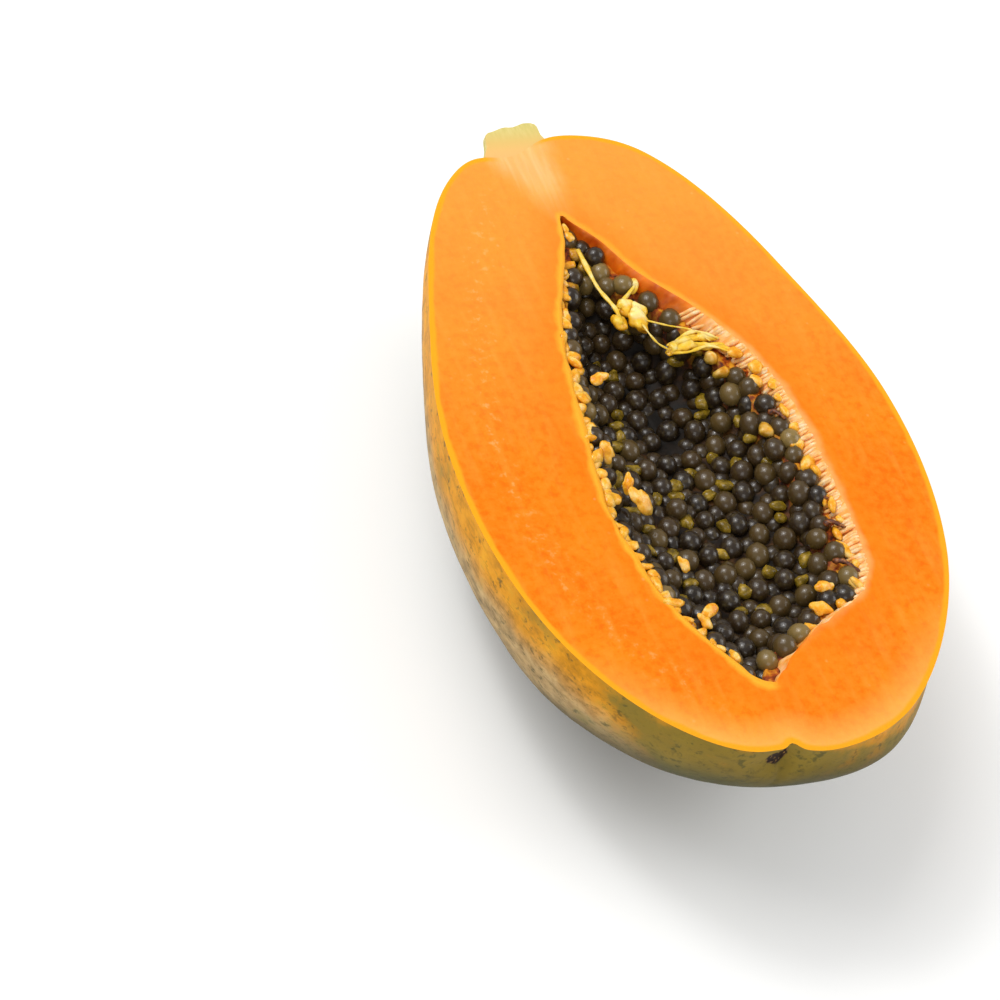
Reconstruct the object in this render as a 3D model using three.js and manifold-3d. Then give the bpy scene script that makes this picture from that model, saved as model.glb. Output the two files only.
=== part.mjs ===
// Half of a ripe papaya, cut lengthwise from stem to blossom end and lying on its rounded back.
// Its flat cut face looks up. A pointed hollow in the flesh holds the seeds, which stand close
// together on their bed, with a few strands of yellow pulp lying over them. Half of the stalk is
// left at the stem end.
//
// Millimetres. While the pieces are made, x runs across, y runs from the blossom end (0) towards
// the stem end, and z is 0 in the cut face and negative in the fruit. The finished group stands on
// z = 0, with its middle over the origin.

import * as THREE from 'three';
import { mergeVertices } from 'three/addons/utils/BufferGeometryUtils.js';
import Module from 'manifold-3d';

const wasm = await Module();
wasm.setup();

// Driving dimensions of the fruit. Stations stand at even angles from the blossom end to the
// stem end; each is the radius that makes the outline there.
const LENGTH = 180;
const LEFT_STATIONS = [70.5, 63, 59.6, 56.2, 52.5, 58.5, 71];
const RIGHT_STATIONS = [70.5, 60.8, 59.3, 56.5, 52, 57.3, 78];
const DEPTH_STATIONS = [64, 60, 59.5, 57, 54.5, 60, 71];
const REST_SPOT_DEPTH = 0.7;

// How much fuller than an ellipse the section is at its corners, and the swelling below the cut
// on the right of the blossom end: where it is on the unit ball, and the way and how far it goes.
const CORNER_FULLNESS = 0.12;
const SWELLING = { at: [0.42, -0.85, -0.3], way: [0.45, -0.83, -0.34], height: 4, reach: 0.45, start: 0.2 };

// The dimple and short furrow at the blossom end, and the dent that the stalk stands in.
const PIT = { x: -8.5, z: -4, depth: 2.3, radius: 6 };
const FURROW = { x: -7.2, y: 2.5, radius: 1.6, tip: 0.1, reach: 20 };
const DENT = { x: -10.5, z: -1, depth: 5, radius: 8.3 };
const STALK = { x: -9.3, root: 170, lean: 0.1, slant: 0.28 };
const STALK_PROFILE = [[0, 0], [9.6, 0], [8.6, 6.5], [7.5, 9.5], [7.2, 12.6], [6, 13.8], [0, 14]];

// The seed hollow: its pointed ends, its edge to the left and right of its axis, and its depth,
// with stations at even angles from the blossom end's tip to the stem end's.
const HOLLOW = { x: -4.7, low: 17.9, high: 153.2, depth: 28 };
const HOLLOW_LEFT = [0, 4, 8, 14.2, 18.5, 20.2, 18.3, 15.8, 12.4, 7, 2.4, 0.9, 0];
const HOLLOW_RIGHT = [0, 2.6, 10.5, 31, 35.5, 36.4, 36.4, 33, 24.2, 12.8, 7, 1.8, 0];
const FLARE = { width: 4.5, depth: 4, share: 0.4 };

// The seeds and the bed that they stand on, which is shallow at the blossom end and deep towards
// the stem end. Each seed is raised, sized and turned a little by chance.
const BED_DEPTH = [0, 3, 6, 7.5, 9, 10.5, 13, 15.5, 14.5, 9.5, 5, 2, 0];
const BED_INSET = 2.6;
const BED_LEAST = 0.3;
const BED_RIM = 3.5;
const SEED = { across: 2.8, along: 3.2, lift: 1.2, apart: 5.25, smallest: 0.88, spread: 0.16 };
const SEEDS_FROM = 22;
const SEEDS_TO = 149;
const SEED_TRIES = 6000;
const DRAW_START = 2024;

// The strands of pulp: the points that each passes through, and its radius.
const STRANDS = [
  { radius: 1.0, points: [[-4, 142, -2], [-2.2, 132, -2], [-1.2, 123.4, -2.2], [5, 120.6, -2.2]] },
  { radius: 1.2, points: [[3.4, 125.4, -2.2], [5, 120.6, -2.2], [9.2, 114.2, -2.2], [11.6, 110, -4]] },
  { radius: 1.1, points: [[9.2, 114.2, -2.2], [14.4, 113.2, -2], [18.6, 110.6, -2], [22.6, 107, -2]] },
  { radius: 0.9, points: [[5, 120.6, -2.2], [10.6, 118, -2], [15.4, 115.4, -1.9], [19, 112, -1.9]] },
];
const PULP_BLOBS = [
  { at: [1.6, 127, -2.8], size: [2.6, 3.2, 1.8] },
  { at: [4.8, 122, -2.6], size: [3, 2.6, 1.8] },
  { at: [-1.2, 126, -2.6], size: [2, 2.8, 1.6] },
];

// How finely the surfaces are divided: faces round, and rings from end to end.
const FRUIT_FACES = [56, 36];
const HOLLOW_FACES = [36, 30];
const BED_FACES = [16, 12];
const SEED_FACES = [6, 4];
const BLOB_FACES = [8, 6];
const STALK_SIDES = 24;
const FURROW_SIDES = 12;
const STRAND_STEPS = 10;

const GAP = 0.3;
const FAR = 400;

// One closed body of a three.js geometry, with the vertices along its seams joined.
function solid(geometry) {
  geometry.deleteAttribute('normal');
  geometry.deleteAttribute('uv');
  const merged = mergeVertices(geometry, 1e-4);
  return new wasm.Manifold(new wasm.Mesh({
    numProp: 3,
    vertProperties: new Float32Array(merged.attributes.position.array),
    triVerts: new Uint32Array(merged.index.array),
  }));
}

// A ball whose points are moved by a function, so that it takes another rounded form.
function formed(segments, rings, move) {
  const geometry = new THREE.SphereGeometry(1, segments, rings);
  const position = geometry.attributes.position;
  const point = new THREE.Vector3();
  for (let i = 0; i < position.count; i += 1) {
    move(point.fromBufferAttribute(position, i));
    position.setXYZ(i, point.x, point.y, point.z);
  }
  return solid(geometry);
}

// A box from one corner to the other.
function block(low, high) {
  const size = high.map((value, i) => value - low[i]);
  const middle = high.map((value, i) => (value + low[i]) / 2);
  return solid(new THREE.BoxGeometry(...size).translate(...middle));
}

// The value at t, from 0 to 1, of a smooth curve through evenly spaced stations.
function along(stations, t) {
  const last = stations.length - 1;
  const place = THREE.MathUtils.clamp(t, 0, 1) * last;
  const i = Math.min(Math.floor(place), last - 1);
  const f = place - i;
  const [a, b, c, d] = [i - 1, i, i + 1, i + 2].map((k) => stations[THREE.MathUtils.clamp(k, 0, last)]);
  return b + 0.5 * f * (c - a + f * (2 * a - 5 * b + 4 * c - d + f * (3 * (b - c) + d - a)));
}

// How far round from the blossom end, 0 to 1, a height on the unit ball is.
function turn(height) {
  return Math.acos(THREE.MathUtils.clamp(-height, -1, 1)) / Math.PI;
}

// How deep a rounded dent is at a point of the fruit's end.
function dent(form, point) {
  const distance = Math.hypot(point.x - form.x, point.z - form.z) / form.radius;
  return form.depth * Math.exp(-distance * distance);
}

// How far a point of the unit ball is moved by the swelling below the cut.
function swelling(point) {
  const distance = point.distanceTo(new THREE.Vector3(...SWELLING.at)) / SWELLING.reach;
  return SWELLING.height * Math.exp(-distance * distance)
    * THREE.MathUtils.smoothstep(-point.z, 0, SWELLING.start);
}

// The form of the uncut fruit, grown by some thickness all round.
function fruitForm(extra) {
  return (point) => {
    const t = turn(point.y);
    const end = point.y;
    const swell = swelling(point);
    const ring = Math.max(Math.hypot(point.x, point.z), 1e-9);
    const full = 1 + CORNER_FULLNESS * ((point.x * point.z) / (ring * ring)) ** 2;
    point.x *= full * along(point.x < 0 ? LEFT_STATIONS : RIGHT_STATIONS, t) + extra;
    point.z *= full * along(DEPTH_STATIONS, t) + extra;
    point.y = (LENGTH / 2) * (1 + end) + extra * end;
    point.y += end < 0 ? dent(PIT, point) : -dent(DENT, point);
    point.addScaledVector(new THREE.Vector3(...SWELLING.way), swell);
  };
}

// Middle and half width of the seed hollow at a station.
function hollowEdge(t) {
  const left = Math.max(along(HOLLOW_LEFT, t), 0);
  const right = Math.max(along(HOLLOW_RIGHT, t), 0);
  return { middle: HOLLOW.x + (right - left) / 2, half: (left + right) / 2 };
}

// How far the hollow's far wall flares out from its foot to the cut.
function flareWidth(half) {
  return Math.min(FLARE.width, FLARE.share * half);
}

// The seed hollow, shrunk by some inset. Its far wall flares out towards the cut.
function hollowForm(inset) {
  return (point) => {
    const t = turn(point.y);
    const ring = Math.max(Math.hypot(point.x, point.z), 1e-9);
    const side = point.x / ring;
    const { middle, half } = hollowEdge(t);
    const size = Math.max(half - inset, 0);
    point.z = (point.z / ring) * Math.sin(t * Math.PI) * (HOLLOW.depth - inset);
    const flare = flareWidth(half) * (1 - Math.exp(Math.min(point.z, 0) / FLARE.depth));
    point.x = middle + size * side - flare * Math.max(side, 0);
    const reach = (HOLLOW.high - HOLLOW.low) / 2 - inset;
    point.y = (HOLLOW.low + HOLLOW.high) / 2 + point.y * reach;
  };
}

// The bed's section at a station: its middle, half width and depth below its rim.
function bedSection(t) {
  const { middle, half } = hollowEdge(t);
  const lean = flareWidth(half) / 2;
  return {
    middle: middle - lean,
    half: Math.max(half - lean - BED_INSET, BED_LEAST * half),
    depth: Math.max(along(BED_DEPTH, t), 0),
  };
}

// The space over the bed, carried up past the cut face.
function overBedForm(point) {
  const t = turn(point.y);
  const ring = Math.max(Math.hypot(point.x, point.z), 1e-9);
  const section = bedSection(t);
  point.x = section.middle + section.half * (point.x / ring);
  const rise = point.z / ring;
  point.z = -BED_RIM + rise * (rise < 0 ? section.depth : HOLLOW.depth);
  point.y = THREE.MathUtils.lerp(HOLLOW.low, HOLLOW.high, (1 + point.y) / 2);
}

// The flesh and skin of the half, with its seed hollow, rest spot and furrow.
function fruitHalf(backDepth) {
  const whole = formed(...FRUIT_FACES, fruitForm(0));
  const above = block([-FAR, -FAR, 0], [FAR, FAR, FAR]);
  const below = block([-FAR, -FAR, -FAR], [FAR, FAR, REST_SPOT_DEPTH - backDepth]);
  const hollow = formed(...HOLLOW_FACES, hollowForm(0));
  const { radius, tip, reach } = FURROW;
  const furrow = solid(new THREE.CylinderGeometry(2 * radius, tip, 2 * reach, FURROW_SIDES)
    .rotateX(Math.PI / 2)
    .translate(FURROW.x, FURROW.y, 0));
  return whole.subtract(above).subtract(below).subtract(hollow).subtract(furrow);
}

// Half of the stalk's stub, cut lengthwise with the fruit.
function stalkStub() {
  const profile = STALK_PROFILE.map(([radius, height]) => new THREE.Vector2(radius, height));
  const stalk = solid(new THREE.LatheGeometry(profile, STALK_SIDES)
    .applyMatrix4(new THREE.Matrix4().makeShear(STALK.slant, 0, 0, 0, 0, 0))
    .rotateZ(-STALK.lean)
    .translate(STALK.x, STALK.root, 0));
  const above = block([-FAR, -FAR, 0], [FAR, FAR, FAR]);
  return stalk.subtract(above).subtract(formed(...FRUIT_FACES, fruitForm(GAP)));
}

// The strands and blobs of pulp that lie over the seeds, held clear of the hollow's wall.
function pulp(room) {
  const round = new THREE.Shape().absarc(0, 0, 1, 0, 2 * Math.PI).getPoints(2);
  const pieces = STRANDS.map(({ radius, points }) => {
    const path = new THREE.CatmullRomCurve3(points.map((point) => new THREE.Vector3(...point)));
    const section = new THREE.Shape(round.map((point) => point.clone().multiplyScalar(radius)));
    const settings = { steps: STRAND_STEPS, bevelEnabled: false, extrudePath: path };
    return solid(new THREE.ExtrudeGeometry(section, settings));
  });
  const blobs = PULP_BLOBS.map(({ at, size }) => (
    solid(new THREE.SphereGeometry(1, ...BLOB_FACES).scale(...size).translate(...at))
  ));
  return [...pieces, ...blobs].reduce((joined, piece) => joined.add(piece)).intersect(room);
}

// The straight stretches between the strands' points, and the blobs, which the seeds keep clear of.
function pulpStretches() {
  const stretches = STRANDS.flatMap(({ radius, points }) => points.slice(1).map((end, i) => (
    { line: new THREE.Line3(new THREE.Vector3(...points[i]), new THREE.Vector3(...end)), radius }
  )));
  return stretches.concat(PULP_BLOBS.map(({ at, size }) => (
    { line: new THREE.Line3(new THREE.Vector3(...at), new THREE.Vector3(...at)), radius: size[1] }
  )));
}

// Repeatable draws between 0 and 1.
function makeDraw(start) {
  let state = start;
  return () => {
    state = (state * 16807) % 2147483647;
    return state / 2147483647;
  };
}

// Where the seeds stand: chance places on the bed, each as far from the others as seeds that
// touch are, and clear of the strands.
function seedPlaces() {
  const draw = makeDraw(DRAW_START);
  const stretches = pulpStretches();
  const nearest = new THREE.Vector3();
  const longest = SEED.along * (SEED.smallest + SEED.spread);
  const span = HOLLOW.high - HOLLOW.low;
  const places = [];
  for (let i = 0; i < SEED_TRIES; i += 1) {
    const [atY, atRound, atLift, atSize, turnX, turnY] = Array.from({ length: 6 }, draw);
    const y = THREE.MathUtils.lerp(SEEDS_FROM, SEEDS_TO, atY);
    const round = Math.PI * atRound;
    const { middle, half, depth } = bedSection(turn((2 * (y - HOLLOW.low)) / span - 1));
    const x = middle - half * Math.cos(round);
    const spot = new THREE.Vector3(x, y, -BED_RIM - depth * Math.sin(round));
    const apart = places.every(({ root }) => root.distanceTo(spot) > SEED.apart);
    const clear = stretches.every(({ line, radius }) => (
      line.closestPointToPoint(spot, true, nearest).distanceTo(spot) > radius + longest + GAP
    ));
    if (apart && clear) {
      const inward = new THREE.Vector3(depth * Math.cos(round), 0, half * Math.sin(round));
      const centre = spot.clone().addScaledVector(inward.normalize(), SEED.lift * atLift);
      const size = SEED.smallest + SEED.spread * atSize;
      const turned = new THREE.Euler(Math.PI * turnX, Math.PI * turnY, 0);
      places.push({ root: spot, centre, size, turned });
    }
  }
  return places;
}

// The seeds on their bed, as one body that stays inside the hollow.
function seedMass(room) {
  const overRim = block([-FAR, -FAR, -BED_RIM], [FAR, FAR, FAR]);
  const bed = room.subtract(formed(...BED_FACES, overBedForm)).subtract(overRim);
  const seeds = seedPlaces().map(({ centre, size, turned }) => (
    solid(new THREE.SphereGeometry(1, ...SEED_FACES)
      .scale(SEED.across * size, SEED.along * size, SEED.across * size)
      .applyMatrix4(new THREE.Matrix4().makeRotationFromEuler(turned))
      .translate(centre.x, centre.y, centre.z))
  ));
  const above = block([-FAR, -FAR, -GAP], [FAR, FAR, FAR]);
  return seeds.reduce((joined, seed) => joined.add(seed)).intersect(room).add(bed).subtract(above);
}

// A named mesh of a solid's largest body.
function piece(name, body, colour, roughness) {
  const largest = body.decompose().sort((a, b) => b.volume() - a.volume())[0];
  const { vertProperties, triVerts } = largest.getMesh();
  const geometry = new THREE.BufferGeometry();
  geometry.setAttribute('position', new THREE.BufferAttribute(vertProperties, 3));
  geometry.setIndex(new THREE.BufferAttribute(triVerts, 1));
  geometry.computeVertexNormals();
  const material = new THREE.MeshStandardMaterial({ color: colour, roughness, metalness: 0 });
  const mesh = new THREE.Mesh(geometry, material);
  mesh.name = name;
  return mesh;
}

// How deep the uncut back is at its lowest.
const angles = Array.from({ length: 181 }, (_, degrees) => THREE.MathUtils.degToRad(degrees));
const backDepth = Math.max(...angles.map((angle) => (
  Math.sin(angle) * along(DEPTH_STATIONS, angle / Math.PI)
)));
const room = formed(...HOLLOW_FACES, hollowForm(GAP));

const group = new THREE.Group();
group.add(piece('fruit_half', fruitHalf(backDepth), 0xff962b, 0.45));
group.add(piece('stem_stub', stalkStub(), 0xe3d98c, 0.7));
group.add(piece('seeds', seedMass(room), 0x4a443a, 0.25));
group.add(piece('pulp_strands', pulp(room), 0xe6bf32, 0.4));

const bounds = new THREE.Box3().setFromObject(group);
const middle = bounds.getCenter(new THREE.Vector3());
group.position.set(-middle.x, -middle.y, -bounds.min.z);

export default group;
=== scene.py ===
import math

import bmesh
import bpy
from mathutils import Matrix, Vector, kdtree, noise
from mathutils.geometry import intersect_point_line


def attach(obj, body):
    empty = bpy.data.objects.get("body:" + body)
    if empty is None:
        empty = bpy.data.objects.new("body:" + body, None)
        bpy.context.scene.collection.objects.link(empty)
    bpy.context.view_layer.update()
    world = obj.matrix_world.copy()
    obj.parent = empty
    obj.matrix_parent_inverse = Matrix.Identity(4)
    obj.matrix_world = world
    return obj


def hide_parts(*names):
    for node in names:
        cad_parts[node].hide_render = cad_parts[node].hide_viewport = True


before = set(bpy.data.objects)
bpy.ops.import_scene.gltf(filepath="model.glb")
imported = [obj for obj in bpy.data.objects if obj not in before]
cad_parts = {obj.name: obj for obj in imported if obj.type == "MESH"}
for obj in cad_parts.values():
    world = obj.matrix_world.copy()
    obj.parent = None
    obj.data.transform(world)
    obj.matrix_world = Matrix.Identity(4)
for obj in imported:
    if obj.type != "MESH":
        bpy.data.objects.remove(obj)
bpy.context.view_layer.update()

# Shapes are worked out in millimetres, as the solids are: x across, y from the blossom end,
# z from the cut face. Meshes and the camera are then brought into the frame, in metres.
METRE = 0.001
FRUIT_AT = Vector((-0.1475, -92.4133, 56.5212))
TO_FRAME = Matrix.Scale(METRE, 4) @ Matrix.Translation(FRUIT_AT)

# Driving dimensions of the solids.
LENGTH = 180
LEFT_STATIONS = [70.5, 63, 59.6, 56.2, 52.5, 58.5, 71]
RIGHT_STATIONS = [70.5, 60.8, 59.3, 56.5, 52, 57.3, 78]
DEPTH_STATIONS = [64, 60, 59.5, 57, 54.5, 60, 71]
PIT = (-8.5, -4, 2.3, 6)
DENT = (-10.5, -1, 5, 8.3)
CORNER_FULLNESS = 0.12
SWELLING_AT = Vector((0.42, -0.85, -0.3))
SWELLING_WAY = Vector((0.45, -0.83, -0.34))
SWELLING_HEIGHT = 4
SWELLING_REACH = 0.45
SWELLING_START = 0.2
FURROW_X = -7.2
FURROW_WIDTH = 1.5
FURROW_DEPTH = 1.5
FURROW_REACH = 17
SCAR_AT = (-9.1, 3.2, -4.6)
STALK_X = -9.3
STALK_ROOT = 170
STALK_LEAN = 0.1
STALK_SLANT = 0.28
STALK_PROFILE = [
    (9.6, 0), (9.1, 3.5), (8.6, 6.5), (7.6, 9.2), (7.2, 12),
    (6.9, 13), (6, 13.7), (3, 13.9), (0, 13.8),
]
STALK_RIBS = 9
STALK_CUT = -0.12
HOLLOW_X = -4.7
HOLLOW_LOW = 17.9
HOLLOW_HIGH = 153.2
HOLLOW_DEPTH = 28
HOLLOW_LEFT = [0, 4, 8, 14.2, 18.5, 20.2, 18.3, 15.8, 12.4, 7, 2.4, 0.9, 0]
HOLLOW_RIGHT = [0, 2.6, 10.5, 31, 35.5, 36.4, 36.4, 33, 24.2, 12.8, 7, 1.8, 0]
FLARE_WIDTH = 4.5
FLARE_DEPTH = 4
FLARE_SHARE = 0.4
BED_DEPTH = [0, 3, 6, 7.5, 9, 10.5, 13, 15.5, 14.5, 9.5, 5, 2, 0]
BED_INSET = 2.6
BED_RIM = 3.5
BED_THICKNESS = 0.8
SEED_ACROSS = 2.8
SEED_ALONG = 3.2
SEED_LIFT = 1.2
SEED_APART = 5.25
SEED_SMALLEST = 0.88
SEED_SPREAD = 0.16
SEEDS_FROM = 22
SEEDS_TO = 149
SEED_TRIES = 6000
DRAW_START = 2024
GAP = 0.3
STRANDS = [
    (1.0, [(-4, 142, -2), (-2.2, 132, -2), (-1.2, 123.4, -2.2), (5, 120.6, -2.2)]),
    (1.2, [(3.4, 125.4, -2.2), (5, 120.6, -2.2), (9.2, 114.2, -2.2), (11.6, 110, -4)]),
    (1.1, [(9.2, 114.2, -2.2), (14.4, 113.2, -2), (18.6, 110.6, -2), (22.6, 107, -2)]),
    (0.9, [(5, 120.6, -2.2), (10.6, 118, -2), (15.4, 115.4, -1.9), (19, 112, -1.9)]),
]
PULP_BLOBS = [
    ((1.6, 127, -2.8), (2.6, 3.2, 1.8)),
    ((4.8, 122, -2.6), (3, 2.6, 1.8)),
    ((-1.2, 126, -2.6), (2, 2.8, 1.6)),
]

# The finer strands: half width, side threads, and the points that each passes through.
FINE_STRANDS = [
    (0.75, 1, [(-3.4, 144, -2), (-2.9, 132, -1.8), (-0.9, 124.8, -1.8), (-0.6, 120.5, -2.6)]),
    (0.6, 1, [(8.2, 134, -2), (6.4, 130.8, -1.6), (2.7, 127.6, -1.8), (0.2, 125, -2)]),
    (0.3, 1, [(3.9, 119.4, -1.6), (4.7, 115.6, -1.6), (5.8, 113, -1.8), (7.9, 110.9, -2)]),
    (0.5, 1, [(7.4, 110.6, -2.4), (11.2, 113.6, -1.8), (16.4, 115.2, -1.6), (21.6, 112.4, -1.6)]),
    (0.45, 1, [(8.2, 110.4, -2.6), (12.5, 109.6, -1.9), (18.4, 110.4, -1.6), (24.4, 107.2, -1.8)]),
    (0.3, 0, [(5.2, 120.6, -2), (10.4, 118, -1.8), (15.6, 115.8, -1.6), (19.2, 112, -1.7)]),
]

# Folds of pulp in the strands, and flaps of it along the near rim: place, size and turn.
PULP_FOLDS = [
    ((1.8, 125.4, -2.6), (2.6, 2.0, 1.3), (0.6, 0.2)),
    ((3.8, 120.8, -2.4), (2.4, 3.1, 1.3), (0.3, 0.4)),
    ((-0.6, 121.6, -2.8), (1.7, 2.5, 1.2), (0.1, 0.2)),
    ((5.4, 123.8, -2.2), (1.5, 2.2, 0.9), (0.9, 0.3)),
    ((9.6, 111.8, -2.6), (3.0, 1.3, 0.9), (0.6, 0.2)),
    ((12.8, 113.6, -2.2), (4.2, 1.0, 0.8), (0.28, 0.1)),
    ((13.2, 111.6, -2.5), (4.4, 1.3, 0.8), (0.12, 0.2)),
    ((17.6, 113.4, -2.1), (4.0, 1.0, 0.7), (-0.12, 0.1)),
    ((18.4, 111.2, -2.3), (4.4, 1.1, 0.7), (-0.22, 0.2)),
    ((22.4, 109.4, -2.2), (3.2, 0.9, 0.6), (-0.5, 0.1)),
    ((6.6, 131.4, -2.2), (1.0, 2.2, 0.8), (-0.4, 0.3)),
]
PULP_FLAPS = [
    ((-15.6, 70.3, -1.9), (2.2, 3.1, 0.7), (0.5, 0.5)),
    ((-17.2, 74.6, -1.4), (1.3, 2.4, 0.8), (-0.3, 0.6)),
    ((-18.6, 84.3, -1.6), (1.5, 2.8, 0.8), (0.2, 0.6)),
    ((-12.6, 105.2, -1.9), (2.4, 1.5, 0.8), (0.2, 0.4)),
    ((-12.6, 51.2, -1.8), (1.2, 2.1, 0.7), (0.4, 0.5)),
    ((-11.8, 38.6, -1.8), (2.4, 1.3, 0.8), (0.5, 0.4)),
    ((-13.6, 36.4, -1.4), (1.4, 2.0, 0.7), (0.8, 0.4)),
    ((14.8, 35.2, -1.9), (2.6, 1.5, 0.8), (-0.3, 0.4)),
    ((18.6, 40.4, -2), (2.4, 1.3, 0.8), (-0.2, 0.5)),
    ((-4.7, 150.0, -0.9), (0.8, 1.5, 0.5), (0.1, 0.1)),
    ((-4.4, 147.6, -1.2), (1.4, 1.5, 0.6), (0.3, 0.2)),
]

# Seeds along the rim, by side and tries, and smaller ones sunk between the rest. A size is the
# smallest share of a seed's full size, and how much of it is left to the draw.
RIM_SEEDS = [(1, 240), (-1, 160)]
RIM_SEED_APART = 4.0
RIM_SEED_DEPTH = 2.6
RIM_SEED_OFF_WALL = 1.4
SUNK_SEED_TRIES = 2500
SUNK_SEED_APART = 3.5
SUNK_SEED_BY = 1.2
RIM_SEED_SIZE = (0.86, 0.14)
SUNK_SEED_SIZE = (0.84, 0.1)
# The sunk seeds are at most half as light as the rest: painted shade, as they lie deeper.
SUNK_SEED_SHADED_TONE = 0.5

# The pocket darkened by painted shade between the seeds: its middle, and how far it reaches along x and y.
SHADE_POCKET_AT = (6.0, 102.0)
SHADE_POCKET_SIZE = (8.0, 15.0)

# Lumps of pulp along the rim: side, number, and where along the fruit they start and end.
RIM_LUMPS = [(-1, 62, 26, 140), (1, 22, 30, 108)]

# Drops of pulp between the seeds.
DROPS = 60
DROP_TRIES = 3000
DROP_APART = 3.1

# The torn fibres: where along the fruit they start and end, and each one's thickness along its
# length. Then the dried shreds, by their two ends, and the same for them.
FRINGE_FROM = 31
FRINGE_TO = 121
FRINGE_SWELL = (0.3, 0.6, 0.8, 1, 1.1, 1, 0.9, 1, 0.9, 0.7, 0.3)
DRIED_STRIPS = [
    ((25.4, 56.6, -2.2), (29.6, 55.2, -0.9)),
    ((23.4, 46.6, -2.2), (27.8, 43.0, -0.8)),
    ((26.0, 63.9, -2.4), (28.8, 63.5, -0.9)),
    ((25.4, 89.4, -2.4), (28.0, 86.6, -0.6)),
]
SHRED_THICKNESS = 0.55
SHRED_SWELL = (0.9, 1.5, 1.1, 1.3, 0.8, 1.1, 0.7, 0.8, 0.3)

# Relief: the height of the far wall's ridges, and waves of unevenness, each with a height, a
# size, and where it starts.
RIDGE_HEIGHT = 0.7
KNIFE_MARKS = [(0.16, 14, 0.0), (0.07, 3.5, 5.0)]
WALL_BULGES = [(0.9, 9, 3.1), (0.5, 3.2, 7.7)]
SKIN_WAVES = [(0.35, 22, 0.0), (0.08, 5, 0.0)]
LUMP_WAVES = [(0.5, 2.0, 4.4), (0.1, 0.9, 2.4)]

# Fineness of the modelled surfaces.
FRUIT_SEGMENTS = 192
HOLLOW_SEGMENTS = 144
RINGS = 300
FACE_CUTS = 30
BED_SEGMENTS = 96
BED_RINGS = 160
STRAND_STEPS = 18

# Materials of the fruit's own mesh, after its skin, which comes first.
FLESH = 1
WALL = 2

# The setting, in metres and watts: each light has a name, a place, a size and a power.
TABLE_HALF = 3
LIGHTS = [
    ("soft_box_high", (-0.5, 0.5, 1.0), 0.9, 9.2),
    ("soft_box_right", (0.9, -0.2, 0.7), 0.7, 4.4),
    ("soft_box_front", (-0.5, -0.9, 0.7), 0.6, 2.5),
    ("small_lamp", (-0.35, 0.3, 0.75), 0.14, 1.2),
]
LIT_SPOT = Vector((0, 0, 0.04))
ROOM_LIGHT = 0.46

# The camera: lens and sensor, its place in millimetres, and where its right and its top point.
LENS = 86.4
SENSOR_WIDTH = 36
CAMERA_AT = Vector((-247.45, LENGTH / 2 - 285.53, 399.56))
CAMERA_RIGHT = Vector((0.91622, -0.32273, 0.23746))
CAMERA_UP = Vector((0.12467, 0.79285, 0.59653))


# Shapes that pieces share

def clamp(value, low, high):
    """A value kept between two others."""
    return max(low, min(high, value))


def between(a, b, c, d, f):
    """A share f of the way from b to c, on a smooth curve that also passes through a and d."""
    return b + 0.5 * f * (c - a + f * (2 * a - 5 * b + 4 * c - d + f * (3 * (b - c) + d - a)))


def along(stations, t):
    """The value at t, from 0 to 1, of a smooth curve through evenly spaced stations."""
    last = len(stations) - 1
    place = clamp(t, 0, 1) * last
    i = min(math.floor(place), last - 1)
    f = place - i
    a, b, c, d = (stations[clamp(k, 0, last)] for k in (i - 1, i, i + 1, i + 2))
    return between(a, b, c, d, f)


def turn(height):
    """How far round from the blossom end, 0 to 1, a height on the unit ball is."""
    return math.acos(clamp(-height, -1, 1)) / math.pi


def dent(form, x, z):
    """How deep a rounded dent is at a point of the fruit's end."""
    at_x, at_z, depth, radius = form
    return depth * math.exp(-((x - at_x) ** 2 + (z - at_z) ** 2) / radius ** 2)


def furrow(x, z):
    """How deep the short furrow under the blossom end is."""
    width = FURROW_WIDTH * (1 + z / (2 * FURROW_REACH))
    across = math.exp(-((x - FURROW_X) / max(width, 0.3)) ** 2)
    return FURROW_DEPTH * across * clamp(1 + z / FURROW_REACH, 0, 1)


def rough(point, size, start=0.0):
    """Soft unevenness between -1 and 1, with lumps of one size in millimetres."""
    return noise.noise(Vector(point) / size + Vector((start, start, start)))


def relief(point, waves):
    """The height of some waves of unevenness at a point."""
    return sum(height * rough(point, size, start) for height, size, start in waves)


def ease(value, low, high):
    """A smooth rise from 0 to 1 between two values."""
    share = clamp((value - low) / (high - low), 0, 1)
    return share * share * (3 - 2 * share)


def fruit_point(p):
    """A point of the unit ball, moved onto the fruit's skin."""
    t = turn(p.y)
    ring = max(math.hypot(p.x, p.z), 1e-9)
    full = 1 + CORNER_FULLNESS * (p.x * p.z / ring ** 2) ** 2
    x = full * p.x * along(LEFT_STATIONS if p.x < 0 else RIGHT_STATIONS, t)
    z = full * p.z * along(DEPTH_STATIONS, t)
    y = LENGTH / 2 * (1 + p.y)
    y += dent(PIT, x, z) + furrow(x, z) if p.y < 0 else -dent(DENT, x, z)
    swell = SWELLING_HEIGHT * math.exp(-((p - SWELLING_AT).length / SWELLING_REACH) ** 2)
    return Vector((x, y, z)) + SWELLING_WAY * swell * ease(-p.z, 0, SWELLING_START)


def hollow_edge(t):
    """Middle and half width of the seed hollow at a station."""
    left = max(along(HOLLOW_LEFT, t), 0)
    right = max(along(HOLLOW_RIGHT, t), 0)
    return HOLLOW_X + (right - left) / 2, (left + right) / 2


def flare(half, z):
    """How far the far wall leans in at a depth, so that the hollow widens towards the cut."""
    return min(FLARE_WIDTH, FLARE_SHARE * half) * (1 - math.exp(min(z, 0) / FLARE_DEPTH))


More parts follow.
